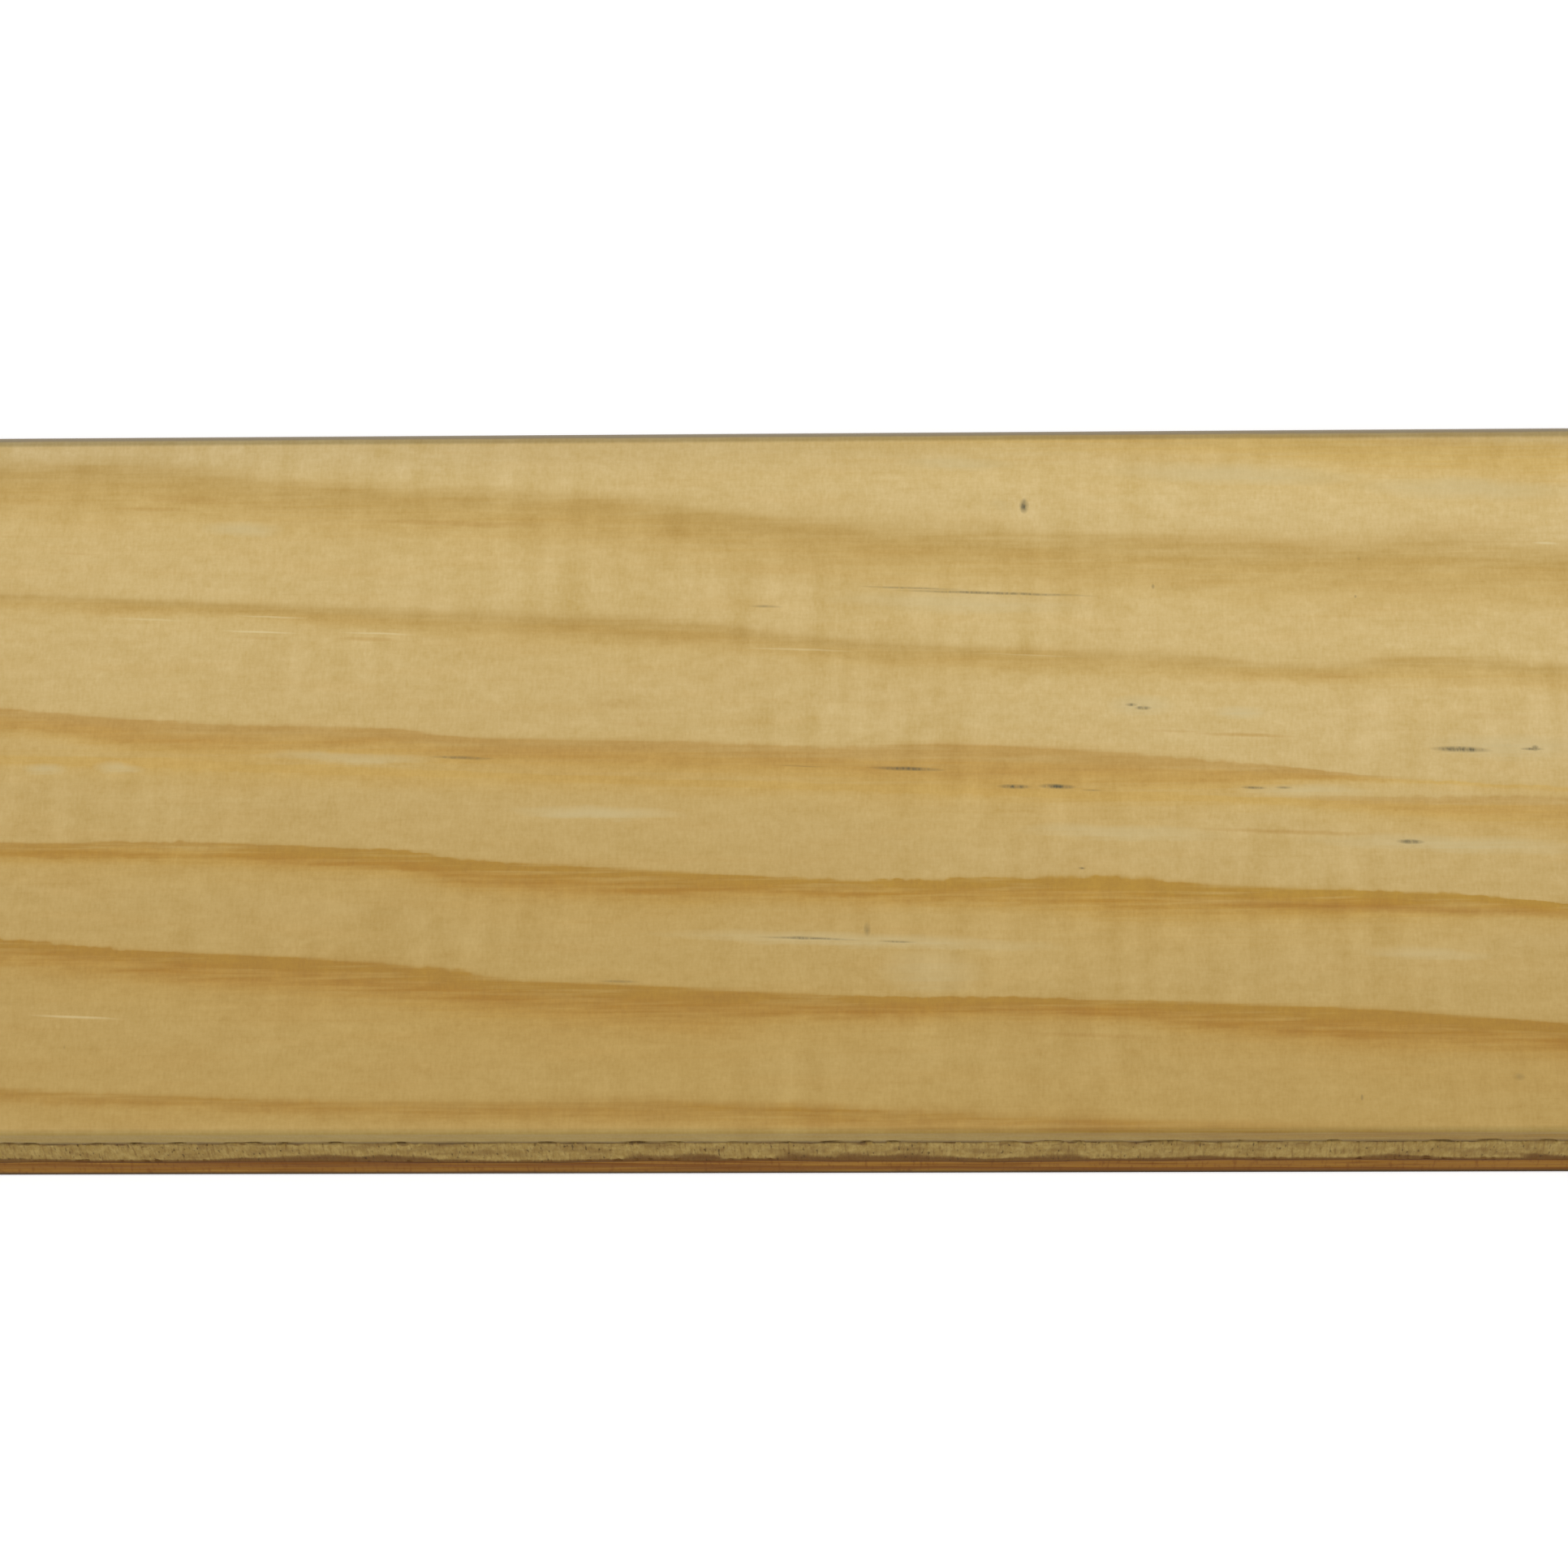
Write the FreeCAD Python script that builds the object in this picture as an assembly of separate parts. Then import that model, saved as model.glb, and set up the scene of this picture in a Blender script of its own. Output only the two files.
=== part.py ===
"""Skirting board ripped from three-ply pine plywood, lying on its back with its show face up.

Frame, in millimetres: X runs along the board, Y from the edge that meets the floor to the edge
that shows on top, and Z from the back that lies on the wall to the show face.
The origin is the middle of the back.

The board is pressed from three plies, then ripped to width and its edges eased. So the outline is
made once, and each ply is the slice of it between two glue lines.
"""

import FreeCAD
import Part
import os

# The board as sold.
BOARD_LENGTH = 2400.0
BOARD_WIDTH = 80.0

# The plies. The face and back run with the board, and the core runs across it.
BACK_PLY = 3.3
CORE_PLY = 4.3
FACE_PLY = 2.4

# The edges. The top edge shows above the floor, so it is rounded over. The others are only broken.
TOP_EDGE_RADIUS = 2.0
BROKEN_EDGE_RADIUS = 0.3

BOARD_THICKNESS = BACK_PLY + CORE_PLY + FACE_PLY
BACK_GLUE_LINE = BACK_PLY
FACE_GLUE_LINE = BACK_PLY + CORE_PLY

# Two points nearer than this are the same point.
SAME_PLACE = 1e-6


def long_edge(solid, y, z):
    """The edge of a solid that runs the board's length through (y, z)."""
    for edge in solid.Edges:
        middle = edge.CenterOfMass
        if abs(middle.y - y) < SAME_PLACE and abs(middle.z - z) < SAME_PLACE:
            return edge
    raise ValueError(f"no edge runs along the board at y {y}, z {z}")


def slab(bottom, top):
    """The board's full length and width between two heights."""
    corner = FreeCAD.Vector(-BOARD_LENGTH / 2, -BOARD_WIDTH / 2, bottom)
    return Part.makeBox(BOARD_LENGTH, BOARD_WIDTH, top - bottom, corner)


def eased_board():
    """The pressed board ripped to width, with its four long edges eased."""
    board = slab(0, BOARD_THICKNESS)
    broken_edges = [
        long_edge(board, -BOARD_WIDTH / 2, BOARD_THICKNESS),
        long_edge(board, -BOARD_WIDTH / 2, 0),
        long_edge(board, BOARD_WIDTH / 2, 0),
    ]
    board = board.makeFillet(BROKEN_EDGE_RADIUS, broken_edges)
    top_edge = long_edge(board, BOARD_WIDTH / 2, BOARD_THICKNESS)
    return board.makeFillet(TOP_EDGE_RADIUS, [top_edge])


def ply(bottom, top):
    """The slice of the eased board between two glue lines."""
    return eased_board().common(slab(bottom, top)).Solids[0]


def main():
    plies = {
        "back_ply": ply(0, BACK_GLUE_LINE),
        "core_ply": ply(BACK_GLUE_LINE, FACE_GLUE_LINE),
        "face_ply": ply(FACE_GLUE_LINE, BOARD_THICKNESS),
    }
    os.makedirs("parts", exist_ok=True)
    for name, solid in plies.items():
        solid.exportStep(f"parts/{name}.step")
        box = solid.BoundBox
        size = f"{box.XLength:.1f} x {box.YLength:.1f} x {box.ZLength:.2f} mm"
        print(f"{name}: {size}, {solid.Volume:.0f} mm3")


main()
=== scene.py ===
# %% [markdown]
# # A skirting board of three-ply pine
# A skirting board covers the joint between a wall and its floor. This one is ripped from a sheet
# of three-ply pine plywood: a pale show face under satin varnish, a core that runs across it, and
# a reddish back. The three plies are the board's three pieces.
#
# The frame says how large each ply is and where it lies. Blender gives each ply a finer skin of
# the same size, so that torn fibres and wavy glue lines are real shape, and then a finish made
# of nodes. The frame's box is kept from the very start.

# %% Load the frame
import bpy
import math
import numpy as np
from mathutils import Matrix, Vector


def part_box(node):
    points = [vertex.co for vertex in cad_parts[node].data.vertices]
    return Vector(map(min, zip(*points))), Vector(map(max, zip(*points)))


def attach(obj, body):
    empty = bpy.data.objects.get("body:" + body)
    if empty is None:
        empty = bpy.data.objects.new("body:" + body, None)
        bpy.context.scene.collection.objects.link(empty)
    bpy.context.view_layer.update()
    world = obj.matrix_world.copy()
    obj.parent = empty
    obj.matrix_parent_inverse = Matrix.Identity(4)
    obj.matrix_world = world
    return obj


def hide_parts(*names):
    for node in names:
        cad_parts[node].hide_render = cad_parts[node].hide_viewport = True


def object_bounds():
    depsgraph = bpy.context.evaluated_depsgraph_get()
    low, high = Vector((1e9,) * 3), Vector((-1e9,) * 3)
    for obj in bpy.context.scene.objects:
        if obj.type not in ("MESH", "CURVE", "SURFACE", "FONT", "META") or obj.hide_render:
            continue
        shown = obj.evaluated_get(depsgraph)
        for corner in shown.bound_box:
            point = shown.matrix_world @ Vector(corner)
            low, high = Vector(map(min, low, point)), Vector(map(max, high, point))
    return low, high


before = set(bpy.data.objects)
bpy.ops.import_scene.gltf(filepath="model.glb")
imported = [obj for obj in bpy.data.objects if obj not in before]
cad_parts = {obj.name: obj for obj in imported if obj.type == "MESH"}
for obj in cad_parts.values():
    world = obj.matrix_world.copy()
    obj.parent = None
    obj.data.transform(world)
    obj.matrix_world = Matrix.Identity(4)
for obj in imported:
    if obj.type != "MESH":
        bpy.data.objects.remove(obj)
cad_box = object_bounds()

MM = 0.001
print("the board's box in mm:", [[round(c / MM, 2) for c in corner] for corner in cad_box])

# %% [markdown]
# ## Sizes
# Every place on the board is counted in millimetres, as a joiner would: x along the board, y from
# the floor edge up to the top edge, z from the back to the show face. The sizes are read from the
# frame, so the looks follow if the board changes. Only the two edge radii are named here, because
# a box can't tell them.

# %% Read the plies' sizes
def millimetres(node):
    """A ply's lowest and highest corner."""
    low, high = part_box(node)
    return np.array(low) / MM, np.array(high) / MM


core_low, core_high = millimetres("core_ply")
_, face_high = millimetres("face_ply")
HALF_LENGTH = face_high[0]
HALF_WIDTH = face_high[1]
FACE_TOP = face_high[2]
FACE_GLUE = core_high[2]
BACK_GLUE = core_low[2]
TOP_EDGE_RADIUS = 2.0
BROKEN_EDGE_RADIUS = 0.3
print(f"plies {BACK_GLUE:.1f}, {FACE_GLUE - BACK_GLUE:.1f} and {FACE_TOP - FACE_GLUE:.1f} mm thick")

# %% [markdown]
# ## Unevenness that repeats exactly
# Wood is never even, but a script has to give the same board every time. The unevenness comes
# from a table of seeded random heights, one for each cell of a grid, with a smooth slope between
# them. It is the same idea as the Noise Texture node, and it moves real points of a mesh.

# %% Seeded smooth noise
COLUMNS, ROWS = 1021, 67  # the table's cells; beyond them it starts again
MIDDLE_COLUMN, MIDDLE_ROW = 400.3, 30.7  # where in the table the middle of the board lies


def unevenness(x, across, cell, seed):
    """Smooth noise from -1 to 1, whose bumps are as long and as wide as the cell, in mm."""
    heights = np.random.default_rng(seed).uniform(-1, 1, (COLUMNS, ROWS))
    u, v = np.broadcast_arrays(x / cell[0] + MIDDLE_COLUMN, across / cell[1] + MIDDLE_ROW)
    column, row = np.floor(u).astype(int), np.floor(v).astype(int)
    s, t = u - column, v - row
    s, t = s * s * (3 - 2 * s), t * t * (3 - 2 * t)

    def corner(i, j):
        return heights[(column + i) % COLUMNS, (row + j) % ROWS]

    near = corner(0, 0) * (1 - s) + corner(1, 0) * s
    far = corner(0, 1) * (1 - s) + corner(1, 1) * s
    return near * (1 - t) + far * t


def ramp(value, start, end):
    """0 before start and 1 after end, with a straight slope between."""
    return np.clip((value - start) / (end - start), 0, 1)


def glue_wave(x):
    """How far the back glue line strays from its height: the core was pressed into soft wood."""
    slow = unevenness(x, 0, (19, 1), 11)
    quick = unevenness(x, 0, (5.5, 1), 12)
    return 0.34 * slow + 0.2 * quick - 0.25 * ramp(slow, 0.35, 0.8)


print("the back glue line strays by", np.round(glue_wave(np.array([-60, -20, 20, 60])), 2), "mm")

# %% [markdown]
# ## A ply as a skin over cross sections
# A ply is long and has the same section all the way, so the natural way to model it is to repeat
# a section along the board and join neighbours with four-sided faces. An extruded outline would
# give the same shape, but then the torn fibres would have no points to move.
#
# The sections crowd together in the middle stretch, which is seen closest, and spread out towards
# the ends. A section is a list of rows. Each row knows the direction that faces outwards, so that
# a tear can push it inwards, and how much room it takes on the map that the finish is baked to.

# %% Where the sections stand
FINE_REACH = 88.0  # half the stretch that is seen closest


def section_places(fine_step, outer_count, crowding=4.2):
    """The sections' places along the board: evenly close in the middle, then further apart."""
    fine = np.arange(0, FINE_REACH, fine_step)
    share = np.expm1(crowding * np.linspace(0, 1, outer_count)) / math.expm1(crowding)
    half = np.concatenate([fine, FINE_REACH + (HALF_LENGTH - FINE_REACH) * share])
    return np.concatenate([-half[:0:-1], half])


print("half a millimetre apart, the middle stretch has", int(2 * FINE_REACH / 0.5), "sections")

# %% Rows of a section
SEEN, HIDDEN = 1.0, 0.03  # a row's share of the bake map, for each mm that it spans


class Section:
    """The rows of a ply's outline, in order round it: place, outward direction, map share."""

    def __init__(self):
        self.rows = []

    def straight(self, start, end, steps, outward, share):
        """Rows from start up to, but not at, the end."""
        for i in range(steps):
            t = i / steps
            y = start[0] + (end[0] - start[0]) * t
            z = start[1] + (end[1] - start[1]) * t
            self.rows.append((y, z, *outward, share))
        return self

    def round(self, centre, radius, start, end, steps):
        """Rows round an eased edge, from one angle up to, but not at, the other."""
        for i in range(steps):
            angle = math.radians(start + (end - start) * i / steps)
            out = (math.cos(angle), math.sin(angle))
            y, z = centre[0] + radius * out[0], centre[1] + radius * out[1]
            self.rows.append((y, z, *out, SEEN))
        return self

    def table(self):
        return np.array(self.rows)


# %% Skin a ply
def skin(name, places, section, lift, tear):
    """A closed mesh over the sections. lift(x, y, z) raises points, and tear(x, y, z) is how
    deep the surface is torn inwards, which the mesh also keeps for its finish to read."""
    rows = section.table()
    x = np.repeat(places, len(rows))
    y, z, out_y, out_z, share = np.tile(rows, (len(places), 1)).T
    depth = tear(x, y, z)
    z = z + lift(x, y, z)
    points = np.column_stack([x, y - out_y * depth, z - out_z * depth]) * MM
    around, along = len(rows), len(places)
    first = np.arange(along - 1)[:, None] * around + np.arange(around)
    second = np.arange(along - 1)[:, None] * around + (np.arange(around) + 1) % around
    quads = np.stack([first, second, second + around, first + around], -1).reshape(-1, 4)
    ends = [list(range(around - 1, -1, -1)), list(range((along - 1) * around, along * around))]
    mesh = bpy.data.meshes.new(name)
    mesh.from_pydata(points.tolist(), [], quads.tolist() + ends)
    mesh.validate()
    torn = mesh.attributes.new("torn", "FLOAT", "POINT")
    torn.data.foreach_set("value", depth.astype(np.float32))
    mesh.shade_smooth()
    mesh.set_sharp_from_angle(angle=math.radians(50))
    piece = bpy.data.objects.new(name, mesh)
    bpy.context.scene.collection.objects.link(piece)
    return piece


# %% [markdown]
# A board that is thirty times longer than it is wide bakes badly onto one square picture. So the
# skin is cut into a few equal lengths, which lie under each other on the map, as strips of veneer
# lie on a bench. Rows that only face glue get almost no room.

# %% Lay the skin on its map
END_ROOM = 0.03  # the part of the map that the two ends take
GUTTER = 0.004


def lay_on_map(piece, places, section, strips):
    """Gives the piece the map that its finish is baked through."""
    rows = section.table()
    step = np.hypot(*(np.roll(rows[:, :2], -1, axis=0) - rows[:, :2]).T)
    height = np.concatenate([[0], np.cumsum(step * rows[:, 4])])
    height = height / height[-1]
    share = (places[:-1] + HALF_LENGTH) / (2 * HALF_LENGTH)
    strip_of = np.minimum((share * strips).astype(int), strips - 1)
    strip_start = np.array([places[:-1][strip_of == s][0] for s in range(strips)])
    longest = np.diff(np.append(strip_start, places[-1])).max()
    room = (1 - END_ROOM) / strips
    column = np.repeat(np.arange(len(places) - 1), len(rows))
    row = np.tile(np.arange(len(rows)), len(places) - 1)
    strip = strip_of[column]

    def corner(i, j):
        u = GUTTER + (1 - 2 * GUTTER) * (places[column + i] - strip_start[strip]) / longest
        v = (strip + GUTTER + (1 - GUTTER * strips * 2) * height[row + j]) * room
        return np.column_stack([u, v])

    sides = np.stack([corner(0, 0), corner(0, 1), corner(1, 1), corner(1, 0)], 1).reshape(-1, 2)
    across = 0.01 + 0.44 * (rows[:, 0] + HALF_WIDTH) / (2 * HALF_WIDTH)
    up = 1 - END_ROOM * (0.2 + 0.6 * (rows[:, 1] - rows[:, 1].min()) / np.ptp(rows[:, 1]))
    left, right = np.column_stack([across, up])[::-1], np.column_stack([across + 0.5, up])
    layer = piece.data.uv_layers.new(name="OFBake")
    layer.data.foreach_set("uv", np.concatenate([sides, left, right]).astype(np.float32).ravel())


# %% [markdown]
# ## The face ply
# The veneer that shows: 2.4 mm thick, sanded and varnished, with its top edge rounded over and
# the other one only broken. A rotary knife cut it, and left faint ripples across the grain every
# 3 mm. They are under two hundredths of a millimetre deep, enough to catch the light.
# Along the glue line the saw plucked out some fibres.

# %% Make the face ply
RIPPLE_PITCH = 3.1
RIPPLE_DEPTH = 0.016


def face_tear(x, y, z):
    """Knife ripples on the face, and plucked fibres on the sawn edges near the glue."""
    patch = ramp(unevenness(x, y, (34, 15), 21), -0.1, 0.7)
    ripple = 0.5 + 0.5 * np.sin(2 * math.pi * x / RIPPLE_PITCH + 2.2 * unevenness(x, y, (9, 40), 22))
    ripples = RIPPLE_DEPTH * patch * ripple * ramp(z, FACE_TOP - 0.05, FACE_TOP)
    sawn = ramp(np.abs(y), HALF_WIDTH - 0.02, HALF_WIDTH) * ramp(z, FACE_TOP - 0.4, FACE_TOP - 0.8)
    fibres = 0.03 * (1 + unevenness(x, z, (2.2, 0.3), 23))
    plucked = ramp(unevenness(x, z, (1.3, 3), 24), 0.1, 0.6) * ramp(z, FACE_GLUE + 0.35, FACE_GLUE)
    return ripples + sawn * (fibres + 0.28 * plucked)


def no_lift(x, y, z):
    return np.zeros_like(x)


lower = HALF_WIDTH - BROKEN_EDGE_RADIUS
upper = HALF_WIDTH - TOP_EDGE_RADIUS
face_section = (
    Section()
    .straight((-HALF_WIDTH, FACE_GLUE), (HALF_WIDTH, FACE_GLUE), 3, (0, -1), HIDDEN)
    .straight((HALF_WIDTH, FACE_GLUE), (HALF_WIDTH, FACE_TOP - TOP_EDGE_RADIUS), 3, (1, 0), SEEN)
    .round((upper, FACE_TOP - TOP_EDGE_RADIUS), TOP_EDGE_RADIUS, 0, 90, 10)
    .straight((upper, FACE_TOP), (-lower, FACE_TOP), 78, (0, 1), SEEN)
    .round((-lower, FACE_TOP - BROKEN_EDGE_RADIUS), BROKEN_EDGE_RADIUS, 90, 180, 3)
    .straight(
        (-HALF_WIDTH, FACE_TOP - BROKEN_EDGE_RADIUS), (-HALF_WIDTH, FACE_GLUE), 12, (-1, 0), SEEN)
)
face_places = section_places(fine_step=0.5, outer_count=255)
face_ply = skin("face_ply_skin", face_places, face_section, no_lift, face_tear)
lay_on_map(face_ply, face_places, face_section, strips=5)
print("face ply:", len(face_ply.data.polygons), "faces")

# %% [markdown]
# ## The core ply
# The middle veneer runs across the board, so the sawn edges show its end grain: dull, a little
# fuzzy, and full of small pits where the saw tore the fibres out beside the hard glue. The pits
# are real dents here. Its lower side follows the wave of the back glue line.

# %% Make the core ply
def core_lift(x, y, z):
    """The core's lower side rides on the wave, and its upper side stays flat."""
    return glue_wave(x) * ramp(z, FACE_GLUE, BACK_GLUE)


def core_tear(x, y, z):
    """Fuzzy end grain everywhere on the sawn edges, and pits beside the glue lines."""
    sawn = ramp(np.abs(y), HALF_WIDTH - 0.02, HALF_WIDTH)
    fuzz = 0.035 * (1 + unevenness(x, z, (0.35, 0.9), 31))
    beside_face = ramp(z, FACE_GLUE - 1.3, FACE_GLUE - 0.2)
    beside_back = 0.3 * ramp(z, BACK_GLUE + 1.3, BACK_GLUE + 0.2)
    pits = ramp(unevenness(x, z, (0.42, 1.4), 32) + 0.3 * unevenness(x, 0, (9, 1), 33), 0.5, 0.85)
    line = ramp(z, FACE_GLUE - 0.3, FACE_GLUE) * ramp(unevenness(x, 0, (2.4, 1), 34), -0.2, 0.5)
    return sawn * (fuzz + 0.42 * pits * np.maximum(beside_face, beside_back) + 0.2 * line)


core_section = (
    Section()
    .straight((-HALF_WIDTH, BACK_GLUE), (HALF_WIDTH, BACK_GLUE), 3, (0, -1), HIDDEN)
    .straight((HALF_WIDTH, BACK_GLUE), (HALF_WIDTH, FACE_GLUE), 16, (1, 0), SEEN)
    .straight((HALF_WIDTH, FACE_GLUE), (-HALF_WIDTH, FACE_GLUE), 3, (0, 1), HIDDEN)
    .straight((-HALF_WIDTH, FACE_GLUE), (-HALF_WIDTH, BACK_GLUE), 22, (-1, 0), SEEN)
)
core_places = section_places(fine_step=0.16, outer_count=450)
core_ply = skin("core_ply_skin", core_places, core_section, core_lift, core_tear)
lay_on_map(core_ply, core_places, core_section, strips=14)
print("core ply:", len(core_ply.data.polygons), "faces")

# %% [markdown]
# ## The back ply
# The back veneer is redder and coarser, cut from nearer the heart of the tree, and nobody filled
# or varnished it. Its grain runs with the board, so its sawn edge shows long streaks, and its
# upper side takes the other half of the wave.

# %% Make the back ply
def back_lift(x, y, z):
    """The back's upper side is the wave, and its lower side lies flat on the wall."""
    return glue_wave(x) * ramp(z, BROKEN_EDGE_RADIUS, BACK_GLUE)


def back_tear(x, y, z):
    """Long shallow scratches of the saw, and a rough back."""
    sawn = ramp(np.abs(y), HALF_WIDTH - 0.02, HALF_WIDTH) * ramp(z, 0.5, 0.9)
    streaks = 0.04 * (1 + unevenness(x, z, (3.5, 0.35), 41))
    rough = 0.03 * (1 + unevenness(x, y, (7, 1.6), 42)) * ramp(z, 0.02, 0)
    return sawn * streaks + rough


back_section = (
    Section()
    .straight((-lower, 0), (lower, 0), 36, (0, -1), SEEN)
    .round((lower, BROKEN_EDGE_RADIUS), BROKEN_EDGE_RADIUS, -90, 0, 3)
    .straight((HALF_WIDTH, BROKEN_EDGE_RADIUS), (HALF_WIDTH, BACK_GLUE), 10, (1, 0), SEEN)
    .straight((HALF_WIDTH, BACK_GLUE), (-HALF_WIDTH, BACK_GLUE), 3, (0, 1), HIDDEN)
    .straight((-HALF_WIDTH, BACK_GLUE), (-HALF_WIDTH, BROKEN_EDGE_RADIUS), 14, (-1, 0), SEEN)
    .round((-lower, BROKEN_EDGE_RADIUS), BROKEN_EDGE_RADIUS, 180, 270, 3)
)
back_places = section_places(fine_step=0.35, outer_count=380)
back_ply = skin("back_ply_skin", back_places, back_section, back_lift, back_tear)
lay_on_map(back_ply, back_places, back_section, strips=5)
print("back ply:", len(back_ply.data.polygons), "faces")

# %% Keep the glue line for the finishes
def remember_glue(piece):
    """Keeps how far each point lies below the wavy glue line, for the finish to read."""
    places = np.empty(len(piece.data.vertices) * 3)
    piece.data.vertices.foreach_get("co", places)
    x, _, z = places.reshape(-1, 3).T / MM
    below = piece.data.attributes.new("below_glue", "FLOAT", "POINT")
    below.data.foreach_set("value", (BACK_GLUE + glue_wave(x) - z).astype(np.float32))


remember_glue(core_ply)
remember_glue(back_ply)
print("both plies beside the wavy glue line remember it")

# %% [markdown]
# ## Writing a finish as sums
# A wood finish is mostly arithmetic: how far is this point below the edge of a growth ring, and
# how dark does that make it? Node by node that is slow to read, so one small class wraps a socket
# and lets Python's own signs add the Math nodes. Every other node comes from one method.

# %% The small class and the method
class Strand:
    """A number that varies over the surface. Arithmetic on it adds Math nodes."""

    def __init__(self, finish, socket):
        self.finish = finish
        self.socket = socket

    def maths(self, operation, *values):
        return self.finish.node("ShaderNodeMath", {"operation": operation}, dict(enumerate(values)))

    def __add__(self, other):
        return self.maths("ADD", self, other)

    def __sub__(self, other):
        return self.maths("SUBTRACT", self, other)

    def __rsub__(self, other):
        return self.maths("SUBTRACT", other, self)

    def __mul__(self, other):
        return self.maths("MULTIPLY", self, other)

    def __truediv__(self, other):
        return self.maths("DIVIDE", self, other)

    def __abs__(self):
        return self.maths("ABSOLUTE", self)

    __radd__ = __add__
    __rmul__ = __mul__

    def wave(self):
        return self.maths("SINE", self)

    def fraction(self):
        """What is left over beyond whole numbers."""
        return self.maths("FRACT", self)

    def at_most(self, other):
        return self.maths("MINIMUM", self, other)

    def at_least(self, other):
        return self.maths("MAXIMUM", self, other)

    def fade(self, start, end, slope="SMOOTHSTEP"):
        """0 at start and 1 at end, with soft shoulders; start may be the larger."""
        limits = {"Value": self, "From Min": start, "From Max": end}
        return self.finish.node("ShaderNodeMapRange", {"interpolation_type": slope}, limits)


class Finish:
    """A material, or the sky, under construction."""

    def __init__(self, owner):
        self.owner = owner
        owner.use_nodes = True
        self.tree = owner.node_tree
        self.tree.nodes.clear()

    def node(self, kind, settings=None, sockets=None, output=0):
        """Adds a node: its settings first, then the values or links of its sockets."""
        made = self.tree.nodes.new(kind)
        for name, value in (settings or {}).items():
            if name == "curve":
                points = made.mapping.curves[0].points
                while len(points) < len(value):
                    points.new(0, 0)
                for point, place in zip(points, value):
                    point.location = place
                    point.handle_type = "AUTO_CLAMPED"
                made.mapping.extend = "HORIZONTAL"
                made.mapping.update()
            else:
                setattr(made, name, value)
        for name, value in (sockets or {}).items():
            if isinstance(value, Strand):
                self.tree.links.new(value.socket, made.inputs[name])
            else:
                made.inputs[name].default_value = value
        return Strand(self, made.outputs[output]) if len(made.outputs) else None

    def place(self):
        """x, y and z on the board, in mm."""
        metres = self.node("ShaderNodeTexCoord", output="Object")
        scaled = self.node("ShaderNodeVectorMath", {"operation": "SCALE"}, {0: metres, "Scale": 1 / MM})
        return [self.node("ShaderNodeSeparateXYZ", None, {0: scaled}, axis) for axis in "XYZ"]

    def grain(self, x, y, z, size, detail=2.0, roughness=0.5):
        """Noise from about -1 to 1, whose specks have that size in mm along x, y and z."""
        parts = {name: part / mm for name, part, mm in zip("XYZ", (x, y, z), size)}
        spot = self.node("ShaderNodeCombineXYZ", None, parts)
        sockets = {"Vector": spot, "Scale": 1.0, "Detail": detail, "Roughness": roughness}
        return (self.node("ShaderNodeTexNoise", None, sockets) - 0.5) * 3.0

    def mix(self, share, first, second, blend="MIX"):
        """first where share is 0, and second, or their blend, where it is 1."""
        settings = {"data_type": "RGBA", "blend_type": blend, "clamp_factor": True}
        return self.node("ShaderNodeMix", settings, {0: share, 6: first, 7: second}, 2)

    def through(self, value, start, end, low, high, points):
        """A smooth curve through given points (value, result), level beyond its ends."""
        span = end - start
        curve = [(min(max((v - start) / span, 0), 1), (r - low) / (high - low)) for v, r in points]
        drawn = self.node("ShaderNodeFloatCurve", {"curve": curve}, {"Value": (value - start) / span})
        return drawn * (high - low) + low


def paint(red, green, blue):
    """A colour as a paint chart gives it, turned into the light that Blender reckons with."""
    values = [v / 255 for v in (red, green, blue)]
    light = [v / 12.92 if v <= 0.04045 else ((v + 0.055) / 1.055) ** 2.4 for v in values]
    return (*light, 1.0)


print("paint(192, 161, 102) is", [round(v, 3) for v in paint(192, 161, 102)])

# %% [markdown]
# ## The growth rings of the face
# A tree adds a wide pale band each spring and a narrow dark one each summer. The dark band has a
# sharp edge on one side, where growth stopped for the winter, and fades out on the other. On this
# face the bands slope gently down the board, 11 to 14 mm apart, each with its own bends.
#
# So a band is drawn by two smooth curves through a few points: where its sharp edge runs, and how
# wide it is. Beyond the middle stretch the edge follows one slow wave that all the bands share.

# %% The bands, in mm
DRIFT = 21.8  # how far the bands wander up and down over the whole board
CURVED_REACH = 110.0  # beyond this, a band only drifts


class Band:
    """A dark band: its edge where x is 0, its darkness, points along it as (x, upper edge, lower
    edge), where it starts and ends if it does, and whether its edge is soft."""

    def __init__(self, edge, darkness, points, start=None, end=None, soft=False):
        self.edge, self.darkness, self.points = edge, darkness, points
        self.start, self.end, self.soft = start, end, soft

    def width(self):
        return sum(top - bottom for _, top, bottom in self.points) / len(self.points)


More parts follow.
